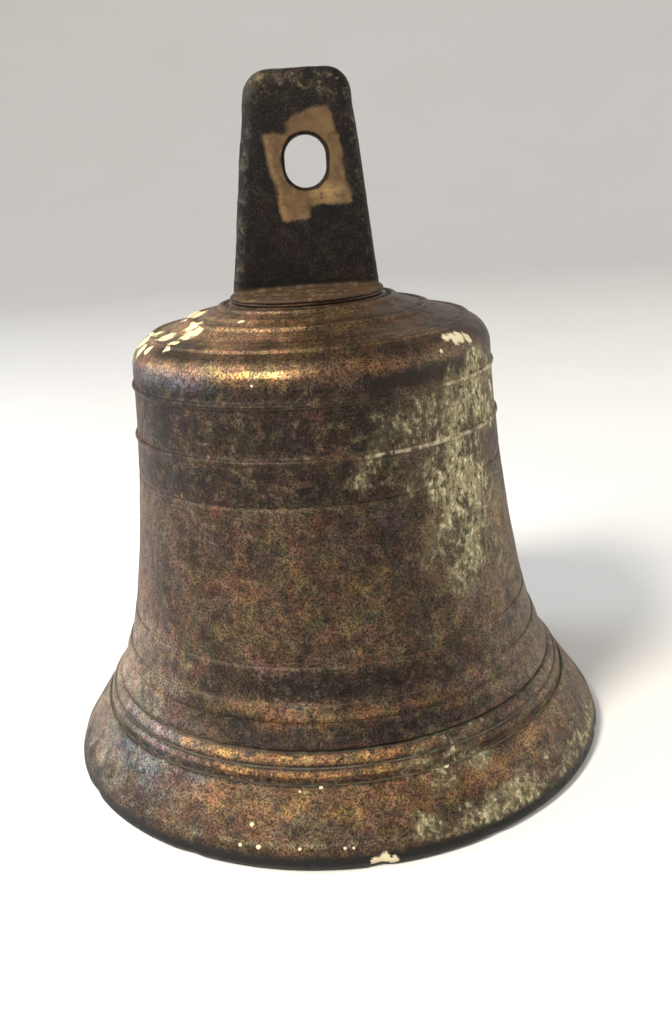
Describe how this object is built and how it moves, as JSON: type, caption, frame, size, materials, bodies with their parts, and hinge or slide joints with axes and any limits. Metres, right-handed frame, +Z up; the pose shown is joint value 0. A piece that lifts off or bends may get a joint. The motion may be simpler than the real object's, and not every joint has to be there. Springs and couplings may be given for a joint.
{
  "type": "signal bell",
  "caption": "Cast bell with a flared, beaded mouth, hung by a tapered slotted lug that is bolted through its crown, with a swinging ball clapper inside.",
  "frame": {"origin": "centre of the mouth, level with the lip on which the bell stands", "axes": "+Z up the bell's axis to the hanger; the hanger's broad faces look along -Y and +Y, and -Y is the face in the picture"},
  "size_m": [0.204, 0.204, 0.2435],
  "materials": {
    "bell_bronze": "cast bronze under a brown patina, rubbed golden on the mouldings, with green verdigris in patches",
    "hanger_bronze": "cast bronze, nearly black, with an olive patch rubbed bare round the slot",
    "leather": "oiled leather packing, dark and squeezed at the edge",
    "dark_steel": "blackened steel with brown rust in the corners",
    "pin_steel": "turned steel, dull and oiled",
    "bush_bronze": "turned bronze, bright where it runs",
    "forged_iron": "forged iron, dark brown, worn bright where the ball strikes"
  },
  "bodies": {
    "bell": {"bell_body": "bell_bronze", "hanger": "hanger_bronze", "collar_packing": "leather", "crown_packing": "leather", "crown_washer": "dark_steel", "hanger_nut": "dark_steel", "hanger_lock_nut": "dark_steel", "hanger_peg": "pin_steel", "pivot_bush": "bush_bronze"},
    "clapper": {"clapper_stem": "forged_iron", "pivot_pin": "pin_steel", "pivot_washer": "dark_steel", "pivot_split_pin": "pin_steel", "clapper_ball": "forged_iron", "ball_nut": "dark_steel", "ball_split_pin": "pin_steel"}
  },
  "joints": [
    {"name": "clapper_swing", "type": "hinge", "parent": "bell", "child": "clapper", "pos_m": [0, 0, 0.1181], "axis": [0, 1, 0], "range_deg": [-32.4, 32.4]}
  ]
}
